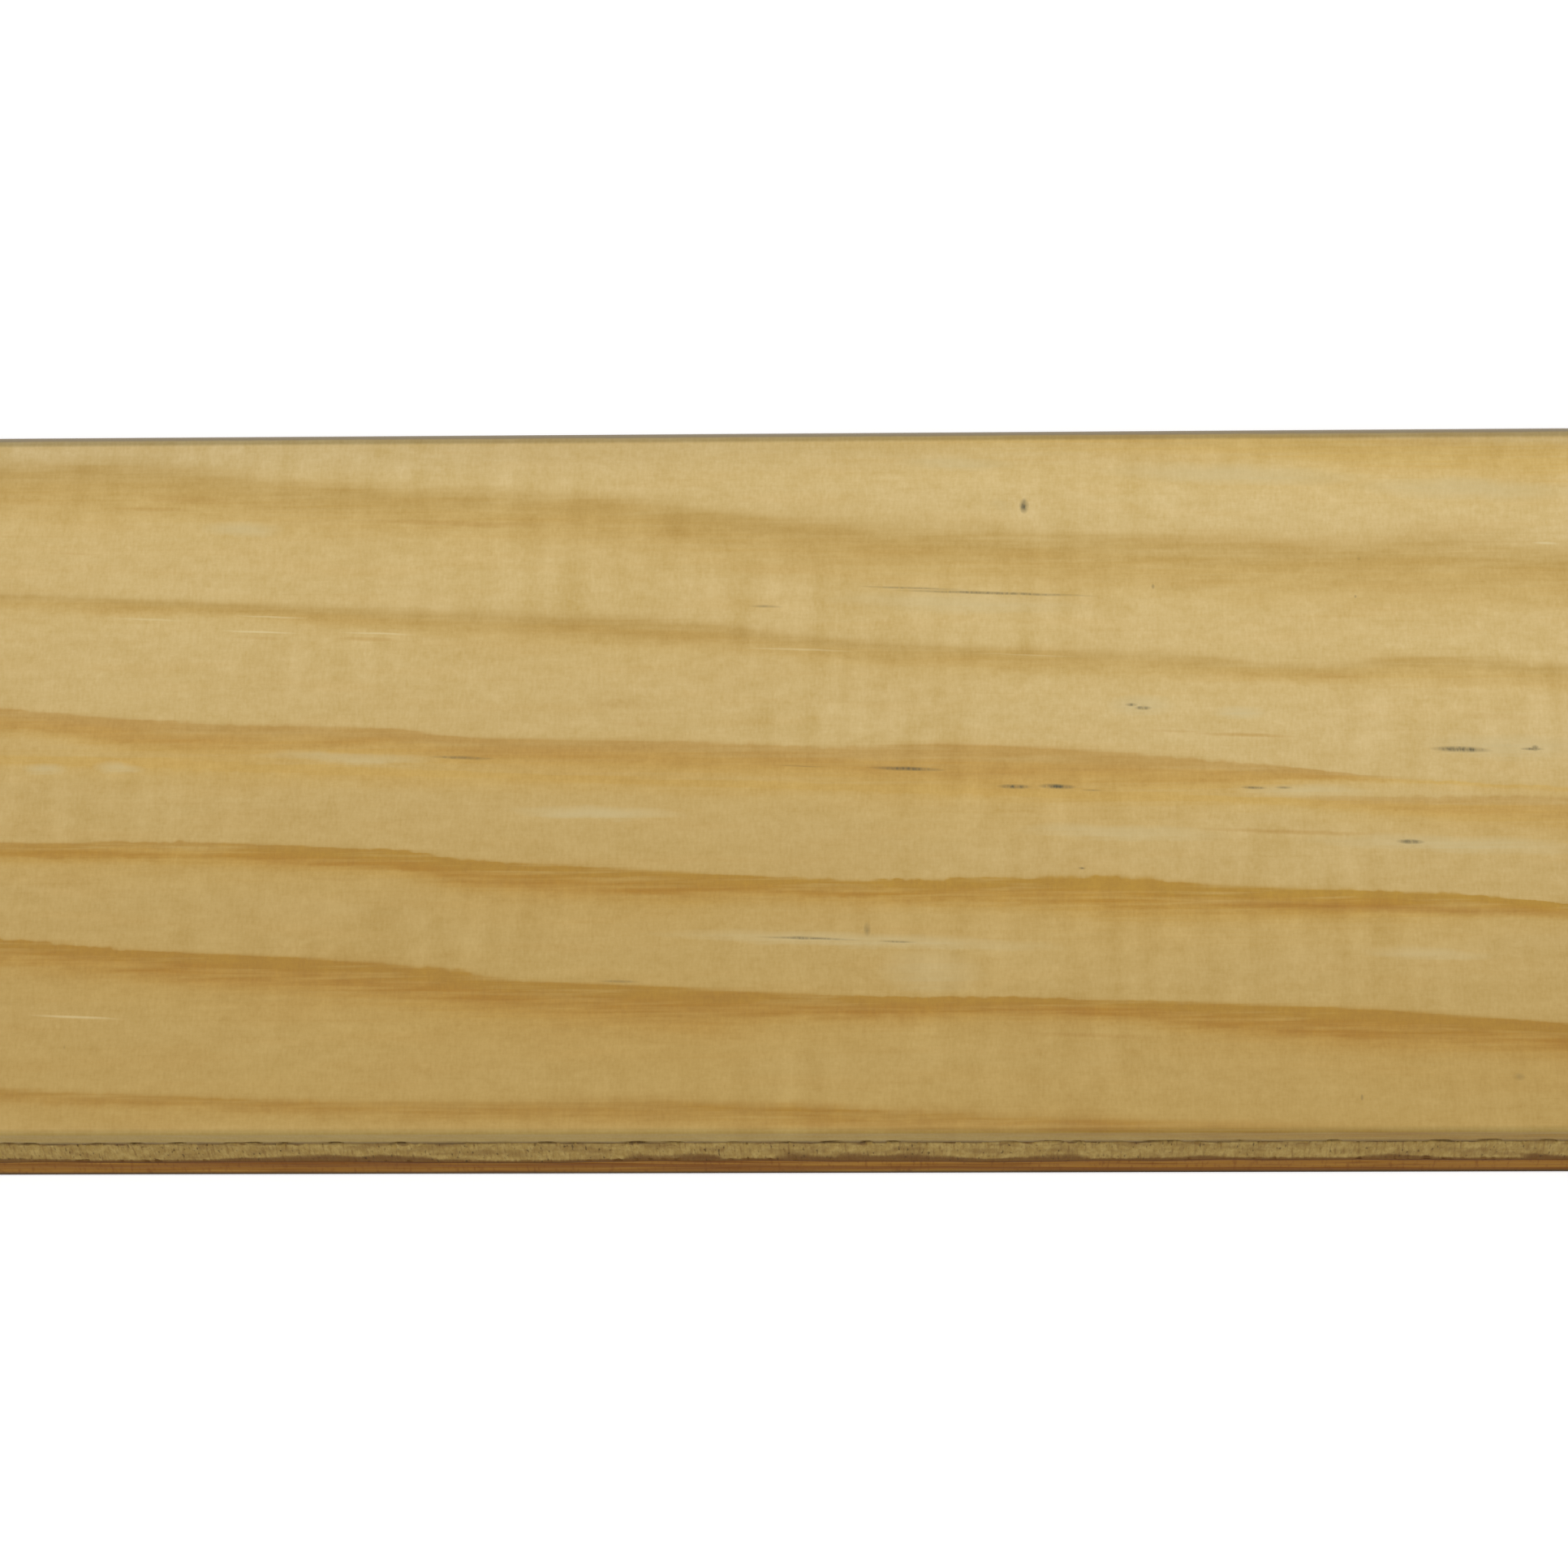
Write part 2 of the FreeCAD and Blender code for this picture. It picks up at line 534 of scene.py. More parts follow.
BANDS = [
    Band(58.0, 0.7, [(0, 58, 54)]),
    Band(43.5, 0.5, [(45, 40.5, 37), (60, 39.6, 35.8), (80, 38.8, 35)]),
    Band(29.0, 0.86, [
        (-80, 36, 31), (-68, 36.2, 30.5), (-58, 34.8, 30), (-48, 33.5, 28.6), (-25, 32.3, 27.5),
        (-12, 31, 26), (0, 29.2, 24.3), (12, 28.2, 23), (40, 26.7, 21), (58, 25.8, 20),
        (66, 26.7, 19.8), (80, 25, 19.4)], soft=True),
    Band(15.6, 0.82, [
        (-80, 20.7, 19), (-60, 19.6, 18.2), (-40, 18.6, 16.4), (-12, 17.1, 14.4), (0, 15.6, 13.4),
        (12, 14.3, 12), (40, 12.9, 10.7), (50, 11.8, 10), (68, 12.4, 9.7), (80, 11.2, 9)], soft=True),
    Band(2.6, 1.0, [
        (-80, 7.2, 5), (-60, 5.6, 2.5), (-40, 4.8, 2.1), (-32, 3.8, 1.2), (-10, 3.2, 0.3),
        (5, 2.4, -0.6), (18, 2.7, -1.4), (30, 2, -2), (45, 0.6, -2), (65, -1.5, -2)], end=66),
    Band(-2.0, 0.72, [(40, -2.9, -3.6), (60, -3.4, -5), (80, -3.7, -6.3)], start=46),
    Band(-12.2, 1.06, [
        (-80, -7.8, -9.6), (-60, -7.9, -10), (-40, -8.9, -11.2), (-30, -10.2, -13), (-12, -11.4, -14.3),
        (0, -12.2, -14.3), (24, -12.3, -15.2), (34, -12.3, -16), (45, -13.3, -16.3), (62, -14, -16.5),
        (80, -15.7, -17)]),
    Band(-24.9, 1.06, [
        (-80, -18.6, -21), (-65, -19.9, -22.6), (-40, -21.4, -25), (-32, -22.3, -26.2), (-26, -23.4, -26.8),
        (-10, -24.3, -28), (0, -24.9, -27.5), (30, -25.7, -27.6), (42, -26.1, -29), (58, -26.9, -30.2),
        (80, -28.8, -31.8)]),
    Band(-36.9, 0.72, [
        (-80, -34.9, -36.2), (-60, -35.9, -37.2), (-30, -36.7, -38.4), (-10, -36.5, -38.6),
        (15, -37.8, -40), (45, -39.2, -42), (80, -41, -44)], soft=True),
    Band(-50.5, 0.9, [(0, -50.5, -53.5)]),
    Band(-63.0, 0.7, [(0, -63, -66)]),
]
print(len(BANDS), "bands, on average", round(np.mean([b.width() for b in BANDS]), 1), "mm wide")

# %% [markdown]
# Across a band, darkness rises within a few tenths of a millimetre and then fades over the rest
# of its width, with a thin golden tail. Those are two more curves. Three of the bands are sliced
# at a flatter angle, so theirs is softer and hardly golden.

# %% Draw the bands
DARK_PROFILE = [
    (-0.5, 0), (-0.12, 0.03), (0.06, 0.85), (0.2, 1), (0.45, 0.84), (0.8, 0.7), (1.05, 0.34), (1.5, 0.1),
    (2.5, 0)]
SOFT_PROFILE = [
    (-0.5, 0), (-0.25, 0.1), (0.05, 0.6), (0.3, 1), (0.6, 0.88), (0.95, 0.55), (1.5, 0.12), (2.5, 0)]
GOLD_PROFILE = [(-0.2, 0), (0.3, 0.2), (0.8, 1), (1.1, 0.85), (1.6, 0.35), (2.2, 0.2), (3, 0)]
GOLD, SOFT_GOLD = 0.95, 0.4  # how golden the tail of a crisp and of a soft band is
SLANT = 1.4  # how far a ring moves across the board for each mm down into the ply


def drift_of(x):
    """How far the slow wave has carried the bands up by that place."""
    return DRIFT * math.sin(math.pi * x / HALF_LENGTH)


def draw_band(finish, band, x, height, wander, frayed):
    """How dark the band makes each point, and how golden."""
    bends = [(-CURVED_REACH, 0.0)]
    widths = [(-CURVED_REACH, band.width())]
    for along, top, bottom in band.points:
        if len(band.points) > 1:
            bends.append((along, top - (band.edge - drift_of(along))))
            widths.append((along, top - bottom))
    bends.append((CURVED_REACH, 0.0))
    widths.append((CURVED_REACH, band.width()))
    bend = finish.through(x, -CURVED_REACH, CURVED_REACH, -6, 6, bends)
    width = finish.through(x, -CURVED_REACH, CURVED_REACH, 0, 8, widths)
    below = wander + bend + band.edge - height + frayed
    share = below / width
    profile = SOFT_PROFILE if band.soft else DARK_PROFILE
    dark = finish.through(share, -0.5, 2.5, 0, 1, profile) * band.darkness
    gold = finish.through(share, -0.5, 3, 0, 1, GOLD_PROFILE) * (SOFT_GOLD if band.soft else GOLD)
    if band.start is not None:
        dark = dark * x.fade(band.start, band.start + 16)
    if band.end is not None:
        dark = dark * x.fade(band.end, band.end - 14)
    return dark, gold


# %% [markdown]
# ## Small marks on the face
# Pine has short dark checks, dashes a tenth of a millimetre wide where the fibres opened, often
# with a pale greenish halo of resin round them. The ones in the middle stretch are listed one by
# one, each as a thin streak along the grain. A Voronoi texture scatters more of them over the
# rest of the board.

# %% The marks, in mm: start x and y, end x and y, half thickness, strength
GRAIN_SLOPE = -0.04  # the marks lie along the grain

PALE_STREAKS = [
    (10, 35.6, 25, 35.2, 0.84, 0.5), (30, 34.6, 62, 33.2, 1.12, 0.6), (56, 32.6, 84, 31.4, 1.26, 0.6),
    (-61, 28.3, -51, 27.9, 0.84, 0.6), (-77, 0.3, -72, 0.3, 0.56, 0.7), (-70, 0.5, -64, 0.3, 0.56, 0.7),
    (-54, 1.9, -34, 1.2, 0.56, 0.7), (-28, -4.8, -9, -5.0, 0.7, 0.7), (-16, -18.4, 31, -20, 0.7, 0.6),
    (9, -19.4, 22, -19.8, 0.56, 0.6), (22, -6.9, 46, -7.9, 0.84, 0.6), (50, -8.5, 84, -9.2, 0.84, 0.65),
    (32, 7.4, 40, 6.6, 1.12, 0.6), (43, 6.2, 49, 6, 0.7, 0.7), (63, 2.4, 82, 1.8, 1.26, 0.6),
    (1, 19.6, 34, 18.2, 1.12, 0.5), (56, -20.7, 72, -21.2, 0.7, 0.5), (44, -2.6, 60, -3, 0.7, 0.6),
    (8, -22, 22, -23.5, 2.6, 0.4), (20, 31.5, 24, 29.4, 0.7, 0.3),
]
CREAM_STREAKS = [
    (-75, -27.5, -64, -27.2, 0.2, 0.5), (-58, 16.1, -49, 15.9, 0.15, 0.7),
    (-46, 15.9, -37, 15.6, 0.15, 0.6), (-57, 17.9, -48, 17.6, 0.15, 0.5),
    (-70, 17.7, -60, 17.4, 0.2, 0.4), (-6, 13.9, 9, 13.3, 0.2, 0.4),
    (76, 26, 79, 25, 0.2, 0.7), (16, 12.9, 34, 12.8, 0.15, 0.25),
]
CHECKS = [
    (24.35, 31.2, 24.55, 29.4, 0.33, 1), (6, 20.9, 20, 20.5, 0.13, 0.45), (10, 20.6, 33, 19.5, 0.15, 0.65),
    (-4.2, 19, 0.4, 18.2, 0.16, 0.4), (-36, 1.7, -28.5, 1.1, 0.18, 0.6), (8.5, 0.2, 16.5, -0.4, 0.18, 0.85),
    (-2, 0.3, 6, 0.2, 0.1, 0.3), (21.6, -2.1, 25, -2.2, 0.19, 1), (25.7, -2.2, 29.4, -2.2, 0.21, 1),
    (29.6, -2.5, 32.4, -2.7, 0.1, 0.4), (34.4, 7.3, 35.8, 6.9, 0.16, 0.7), (35.4, 6.8, 37.2, 6.6, 0.18, 0.8),
    (45.8, -2.4, 48.6, -2.4, 0.14, 0.75), (49.2, -2.4, 51.2, -2.4, 0.14, 0.6), (65, 1.8, 71, 1.8, 0.24, 1),
    (73.8, 1.8, 76.4, 1.8, 0.14, 0.7), (75, 1.9, 75.8, 1.9, 0.25, 0.9), (61.2, -8.5, 64, -8.6, 0.2, 0.9),
    (-3, -18.9, 8.6, -19.1, 0.12, 0.6), (0.5, -18.9, 4, -19, 0.16, 0.7), (9.2, -19.4, 14, -19.4, 0.12, 0.5),
    (8.5, -19, 8.8, -17, 0.3, 0.5), (-18.5, -23.5, -13, -23.8, 0.16, 0.4),
    (37.3, 20.8, 37.7, 20.7, 0.25, 0.6), (57.8, 19.6, 58.2, 19.3, 0.2, 0.4),
    (58.2, 23.9, 58.8, 23.8, 0.2, 0.35), (29.8, -11.2, 30.1, -11.5, 0.3, 0.7),
    (56.7, -36.3, 57.1, -36.5, 0.3, 0.5), (71.8, -33.5, 72.6, -35, 0.7, 0.25),
    (-70.5, -30.6, -70.2, -30.7, 0.2, 0.4),
]
BROWN_LINES = [
    (41.5, 3.8, 51.6, 3.2, 0.2, 1), (34, 4.2, 44, 3.9, 0.2, 0.35), (41, -6.9, 60, -7.8, 0.25, 0.8),
    (23, -29.3, 40, -30.1, 0.3, 0.5), (-49, -12.1, -40, -12.3, 0.3, 0.3), (-22, 7.6, -11, 7.3, 0.8, 0.3),
    (-20, 5, -9, 5.3, 0.4, 0.3), (-77, 25.4, -69, 25.2, 0.2, 0.35), (-57, 15.4, -50, 15.2, 0.25, 0.5),
    (-46, 15.3, -39, 14.9, 0.25, 0.7), (-68, 32, -55, 31.2, 0.5, 0.5), (-45, 28.8, -22, 28.4, 0.35, 0.6),
    (-71, 30.7, -60, 30.4, 0.3, 0.5), (51, 10.6, 60, 10, 0.5, 0.4), (66, 5.7, 79, 5.3, 0.5, 0.3),
    (36, -15.4, 88, -16.6, 0.5, 0.7),
]


# A mark fades towards its rim, so it is made this much thicker than what shows of it.
PALE_SWELL, CHECK_SWELL, BROWN_SWELL = 1.35, 1.5, 1.3


def marked(finish, x, y, marks, swell=1.0):
    """How strongly the nearest mark shows: 0 outside its rim, and most in its middle.

    Each mark is a ball squeezed flat along the grain. A weak one floats above the surface, so
    that only its soft outer part reaches down."""
    spot = finish.node("ShaderNodeCombineXYZ", None, {"X": x, "Y": y - x * GRAIN_SLOPE})
    nearest = None
    for start_x, start_y, end_x, end_y, half, strength in marks:
        across, up = abs(end_x - start_x) / 2, abs(end_y - start_y) / 2
        half *= swell
        wide, tall = (across, half) if across > up else (half, up)
        middle_x = (start_x + end_x) / 2
        middle_y = (start_y + end_y) / 2 - middle_x * GRAIN_SLOPE
        local = finish.node("ShaderNodeVectorMath", {"operation": "MULTIPLY_ADD"}, {
            0: spot,
            1: (1 / wide, 1 / tall, 0),
            2: (-middle_x / wide, -middle_y / tall, 1.15 - 0.8 * strength),
        })
        away = finish.node("ShaderNodeVectorMath", {"operation": "LENGTH"}, {0: local}, "Value")
        nearest = away if nearest is None else nearest.at_most(away)
    return nearest.fade(1.15, 0.35, "LINEAR")


def scattered_checks(finish, x, y):
    """Dashes over the rest of the board: one in some of the cells of a stretched Voronoi."""
    long, wide = 38.0, 9.0  # a cell, in mm
    spot = finish.node("ShaderNodeCombineXYZ", None, {"X": x / long, "Y": y / wide})
    sockets = {"Vector": spot, "Scale": 1.0}
    settings = {"voronoi_dimensions": "2D"}
    centre = finish.node("ShaderNodeTexVoronoi", settings, sockets, "Position")
    chance = finish.node("ShaderNodeTexVoronoi", settings, sockets, "Color")
    away = finish.node("ShaderNodeVectorMath", {"operation": "SUBTRACT"}, {0: spot, 1: centre})
    along = abs(finish.node("ShaderNodeSeparateXYZ", None, {0: away}, "X")) * long
    off = abs(finish.node("ShaderNodeSeparateXYZ", None, {0: away}, "Y")) * wide
    luck = finish.node("ShaderNodeSeparateXYZ", None, {0: chance}, "X")
    lucky = luck.fade(0.62, 0.66) * abs(x).fade(84, 92)
    return (off / 0.2 + along / (1 + luck * 4)).fade(1.2, 0.6) * lucky


# %% [markdown]
# ## The face finish
# The layers go on in the order in which the tree and the mill made them: the pale wood, which is
# a little deeper in colour towards the floor edge, the rings, the fibres along them, the knife's
# ripples across them, the checks, and last the satin varnish as a coat over everything. Light is
# painted in too: a sheen on the pale wood, cool shade towards the top edge, bars of light and
# shade for the ripples, shade and a grey reflection on the rounded top edge, and shade in the torn
# fibres by the glue.

# %% The face's colours
PALE_TOP = paint(211, 182, 117)
PALE_FLOOR = paint(183, 149, 75)
# A painted sheen, paler than the wood.
PAINTED_SHEEN = paint(230, 204, 142)
GREENISH = paint(206, 188, 138)
CREAM = paint(226, 205, 150)
CHECK_DARK = paint(78, 70, 36)
# Painted grey reflection and shade for the outer part of the rounded top edge.
EASED_EDGE_GREY_REFLECTION = paint(134, 118, 88)
# Painted shade for the torn fibres, and the glue line's own dark brown.
TORN_SHADE_AND_GLUE = paint(100, 76, 38)
# What a full dark band leaves of the pale wood's colour, from the top edge to the floor edge.
OLIVE_BAND = (0.79, 0.71, 0.47, 1.0)
ORANGE_BAND = (0.81, 0.69, 0.43, 1.0)
BROWN_BAND = (0.76, 0.61, 0.13, 1.0)
GOLD_TAIL = (0.99, 0.91, 0.62, 1.0)
# What other layers leave of the colour under them.
# Painted cool shade towards the top edge.
TOP_EDGE_COOL_SHADE = (0.93, 0.94, 1.0, 1.0)
CLOUD_SHADE = (0.97, 0.95, 0.92, 1.0)
STREAK_SHADE = (1.0, 0.965, 0.9, 1.0)
FIBRE_SHADE = (0.93, 0.9, 0.8, 1.0)
BROWN_LINE = (0.84, 0.74, 0.52, 1.0)
SAW_GREY = (0.76, 0.80, 0.80, 1.0)
# Painted shade for the rounded top edge.
EASED_EDGE_SHADE = (0.66, 0.66, 0.58, 1.0)
print("a full dark band leaves", BROWN_BAND[:3], "of the pale wood near the floor edge")

# %% The layers of the face
def ring_layers(wood, x, y, z, height, fibre, mottle):
    """How dark and how golden the bands make each point, with edges frayed along the grain."""
    slow = wood.grain(x, height, 0 * z, (130, 60, 1), 0)
    wander = (x * (math.pi / HALF_LENGTH)).wave() * -DRIFT + slow * 2.2 * abs(x).fade(85, 200)
    teeth = x.fade(-60, -68) * y.fade(-14, -17)
    ragged = wood.grain(x, y, z, (22, 12, 12), 0).fade(-0.3, 0.5) + teeth * 1.2
    frayed = wood.grain(x, y, z, (1.5, 5, 5), 1) * ragged * 0.26 + fibre * 0.12 + mottle * 0.2
    dark, gold = 0 * x, 0 * x
    for band in BANDS:
        band_dark, band_gold = draw_band(wood, band, x, height, wander, frayed)
        dark, gold = dark + band_dark, gold + band_gold
    return dark, gold


def pale_wood_and_painted_light(wood, x, y, z, uneven):
    """The wood between the bands, deeper towards the floor edge, with a painted sheen right of the middle.
    """
    colour = wood.mix(y.fade(-52, 52), PALE_FLOOR, PALE_TOP)
    # Painted sheen, most in a broad patch right of the middle; the same mask also lifts the upper half a
    # little.
    pale = y.fade(-8, 8) * 0.12 + x.fade(-20, 60) * y.fade(-45, 8) * x.fade(260, 120) * 0.26
    colour = wood.mix(pale, colour, PAINTED_SHEEN)
    # Painted cool shade over the last 5 mm of the face and over the rounded top edge.
    colour = wood.mix(y.fade(33, 38), colour, TOP_EDGE_COOL_SHADE, "MULTIPLY")
    cloud = wood.grain(x, y, z, (16, 7, 7), 2)
    colour = wood.mix(cloud.fade(-0.9, 0.9) * 0.7, colour, CLOUD_SHADE, "MULTIPLY")
    return wood.mix(uneven.fade(-0.1, 0.9) * 0.5, colour, STREAK_SHADE, "MULTIPLY")


def ripple_shade_and_flecks(wood, colour, x, y, z, flecks, mottle):
    """Faint bars of painted light and shade across the grain, for the knife's ripples, and the wood's own
    flecks and mottle. All of them take more from green than from red, and most from blue."""
    # The bars are painted light and shade, where the knife's ripples would catch the lamp.
    bars = wood.grain(x, y, z, (2.3, 12, 12), 0) * wood.grain(x, y, z, (34, 13, 13), 0).fade(-0.3, 0.5)
    lights = [1 + bars * (0.06 * more) + flecks * (0.055 * more) + mottle * (0.115 * more)
              for more in (1.0, 1.35, 2.9)]
    light = wood.node("ShaderNodeCombineColor", None, dict(zip(("Red", "Green", "Blue"), lights)))
    return wood.mix(1.0, colour, light, "MULTIPLY")


def small_marks(wood, colour, x, y, z, depth, fibre, flecks, mottle):
    """The placed and the scattered marks, which stop where the face does."""
    bend = wood.grain(x, y, z, (5, 5, 5), 1)
    bent = y + bend * 0.1
    soft = y + bend * 0.3 + fibre * 0.2 + mottle * 0.25
    other_pale = wood.grain(x, y, z, (30, 1.1, 1.1), 1).fade(0.75, 1.2) * 0.5 * abs(x).fade(80, 95)
    halo = marked(wood, x, soft, PALE_STREAKS, PALE_SWELL).at_least(other_pale)
    checks = marked(wood, x, bent, CHECKS, CHECK_SWELL)
    scattered = scattered_checks(wood, x, bent)
    on_face = depth.fade(0.6, 0.1)
    colour = wood.mix(halo * (1 + fibre * 0.5) * 0.75 * on_face, colour, GREENISH)
    colour = wood.mix(marked(wood, x, bent, CREAM_STREAKS) * on_face, colour, CREAM)
    brown = marked(wood, x, bent, BROWN_LINES, BROWN_SWELL) * on_face
    colour = wood.mix(brown, colour, BROWN_LINE, "MULTIPLY")
    opened = checks.at_least(scattered) * on_face * (0.8 + flecks * 0.5)
    return wood.mix(opened, colour, CHECK_DARK)


def long_edges(wood, colour, y, z, mottle):
    """The rounded top edge, painted with shade and a grey reflection, and the sawn floor edge: the colour,
    and where each of them is.
    """
    # Painted shade over the rounded top edge, from where the round starts.
    eased = y.fade(HALF_WIDTH - 2.05, HALF_WIDTH - 1.6)
    colour = wood.mix(eased, colour, EASED_EDGE_SHADE, "MULTIPLY")
    # Painted grey reflection and shade on the outer part of the round.
    side = (y + mottle * 0.12).fade(HALF_WIDTH - 1.35, HALF_WIDTH - 1.0)
    colour = wood.mix(side * 0.85, colour, EASED_EDGE_GREY_REFLECTION)
    sawn = y.fade(-HALF_WIDTH + 0.7, -HALF_WIDTH + 0.05)
    colour = wood.mix(sawn, colour, SAW_GREY, "MULTIPLY")
    # Painted shade where fibres are torn out of the sawn edge; the glue line's darkening is its own colour.
    torn = wood.node("ShaderNodeAttribute", {"attribute_name": "torn"}, None, "Fac").fade(0.07, 0.25)
    glue = (z - FACE_GLUE + mottle * 0.15).fade(0.55, 0.05) * 0.75
    return wood.mix(torn.at_least(glue) * sawn, colour, TORN_SHADE_AND_GLUE), side, sawn


# %% Build the face finish
def face_finish():
    wood = Finish(bpy.data.materials.new("satin_pine_face"))
    x, y, z = wood.place()
    depth = FACE_TOP - z
    height = y - depth * SLANT
    fibre = wood.grain(x, height, z, (18, 0.32, 0.32), 3)
    mottle = wood.grain(x, y, z, (4.6, 2.0, 2.0), 4, 0.85)
    flecks = wood.grain(x, y, z, (0.26, 0.8, 0.8), 1)
    uneven = wood.grain(x, height, z, (13, 1.6, 1.6), 1)
    strands = wood.grain(x, height, z, (9, 0.45, 0.45), 2)
    dark, gold = ring_layers(wood, x, y, z, height, fibre, mottle)
    dark = dark * (1 + uneven * 0.35 + strands * (0.3 + y.fade(0, -9) * 0.36))

    colour = pale_wood_and_painted_light(wood, x, y, z, uneven)
    colour = wood.mix(gold * (1 + fibre * 0.5), colour, GOLD_TAIL, "MULTIPLY")
    late_wood = wood.mix(y.fade(11, 7), OLIVE_BAND, ORANGE_BAND)
    late_wood = wood.mix(y.fade(-7, -9.5), late_wood, BROWN_BAND)
    colour = wood.mix(dark, colour, late_wood, "MULTIPLY")
    colour = wood.mix(fibre.fade(0.1, 1.0) * 0.45, colour, FIBRE_SHADE, "MULTIPLY")
    colour = ripple_shade_and_flecks(wood, colour, x, y, z, flecks, mottle)
    colour = small_marks(wood, colour, x, y, z, depth, fibre, flecks, mottle)
    colour, side, sawn = long_edges(wood, colour, y, z, mottle)

    relief = flecks * 0.5 + mottle * 0.8
    bump = wood.node("ShaderNodeBump", None, {"Height": relief, "Distance": 0.00002, "Strength": 0.5})
    shader = wood.node("ShaderNodeBsdfPrincipled", None, {
        "Base Color": colour,
        "Roughness": 0.5 + dark * -0.05 + sawn * 0.25,
        "Specular IOR Level": 0.42,
        "Coat Weight": (1 - sawn * 0.7 - side * 0.7) * 0.36,
        "Coat Roughness": 0.32,
        "Normal": bump,
    })
    wood.node("ShaderNodeOutputMaterial", None, {"Surface": shader})
    return wood.owner


face_material = face_finish()
face_ply.data.materials.append(face_material)
print("the face finish has", len(face_material.node_tree.nodes), "nodes")

# %% [markdown]
# ## The core finish
# The core's fibres run across the board, so one noise whose specks are long along y gives both
# looks at once: short specks on the long sawn edges, and long streaks on the two ends. Lazy dark
# wedges of late wood pass through. The dents that the skin remembers and the sunken pores are
# darkened with painted shade, in the same dark brown as the glue line under the face.

# %% Build the core finish
CORE_WOOD = paint(160, 131, 70)
CORE_LIGHT = paint(190, 164, 100)
CORE_LATE = paint(116, 82, 40)
GLUE_BROWN = paint(104, 68, 30)
# The dark glue line under the face, and painted shade for the torn pits and sunken pores.
GLUE_AND_PIT_SHADE = paint(72, 50, 22)


def core_finish():
    wood = Finish(bpy.data.materials.new("sawn_pine_core"))
    x, y, z = wood.place()
    specks = wood.grain(x, y, z, (0.6, 12, 1.3), 2, 0.75)
    stalks = wood.grain(x, y, z, (0.28, 14, 2.2), 1)
    patches = wood.grain(x, y, z, (4, 30, 1.6), 1)
    colour = wood.mix(specks.fade(-0.6, 0.9) * 0.8, CORE_WOOD, CORE_LIGHT)
    colour = wood.mix(patches.fade(-0.3, 0.9) * 0.5, colour, CORE_LATE)
    colour = wood.mix(stalks.fade(0.0, 0.9) * 0.5, colour, CORE_LATE)
    hills = wood.grain(x, y, z, (9, 40, 6), 1).fade(0.0, 0.6) * 2.0 + 0.5
    below = wood.node("ShaderNodeAttribute", {"attribute_name": "below_glue"}, None, "Fac")
    stain = ((specks * 0.12 - below) / hills).fade(1.3, 0.3) * 0.85
    broken = wood.grain(x, y, z, (3.5, 30, 30), 1).fade(-0.5, 0.4)
    glue = (z + specks * 0.08).fade(FACE_GLUE - 0.45, FACE_GLUE - 0.15) * (0.35 + broken * 0.55)
    beside_face = z.fade(FACE_GLUE - 1.3, FACE_GLUE - 0.3)
    blobs = wood.grain(x, y, z, (1.5, 30, 0.8), 1).fade(0.1, 0.8) * beside_face
    colour = wood.mix(stain.at_least(blobs * 0.7), colour, GLUE_BROWN)
    # Painted shade in the sunken pores and the torn pits, and the glue line's own dark brown.
    pores = wood.grain(x, y, z, (0.26, 14, 0.9), 0).fade(0.55, 0.9) * patches.fade(-0.7, 0.4) * 0.8
    torn = wood.node("ShaderNodeAttribute", {"attribute_name": "torn"}, None, "Fac").fade(0.09, 0.34)
    colour = wood.mix(glue.at_least(torn).at_least(pores) * 0.85, colour, GLUE_AND_PIT_SHADE)
    relief = specks + stalks * 0.7 - pores * 2.0
    bump = wood.node("ShaderNodeBump", None, {"Height": relief, "Distance": 0.00006, "Strength": 0.7})
    shader = wood.node("ShaderNodeBsdfPrincipled", None, {
        "Base Color": colour,
        "Roughness": 0.78 + specks * 0.05,
        "Specular IOR Level": 0.1,
        "Normal": bump,
    })
    wood.node("ShaderNodeOutputMaterial", None, {"Surface": shader})
    return wood.owner


core_material = core_finish()
core_ply.data.materials.append(core_material)
print("the core finish has", len(core_material.node_tree.nodes), "nodes")

# %% [markdown]
# ## The back finish
# Reddish long-grained pine. Its rings are narrower and steeper in the ply than those of the face,
# so the edge shows them as long streaks of dark red and ochre, and the back as plain bands. The
# glue stained the wood beside the wave, and the lowest millimetre of the sawn edges is darkened
# with painted shade, where the board meets the floor.

# %% Build the back finish
BACK_WOOD = paint(152, 106, 40)
BACK_RED = paint(116, 68, 22)
BACK_OCHRE = paint(178, 134, 54)
GLUE_RED = paint(84, 48, 18)
# Painted shade for the lowest millimetre of the sawn edges, next to the floor.
FLOOR_EDGE_SHADE = paint(64, 54, 36)
BACK_RING = 9.0  # mm across the board from one band to the next


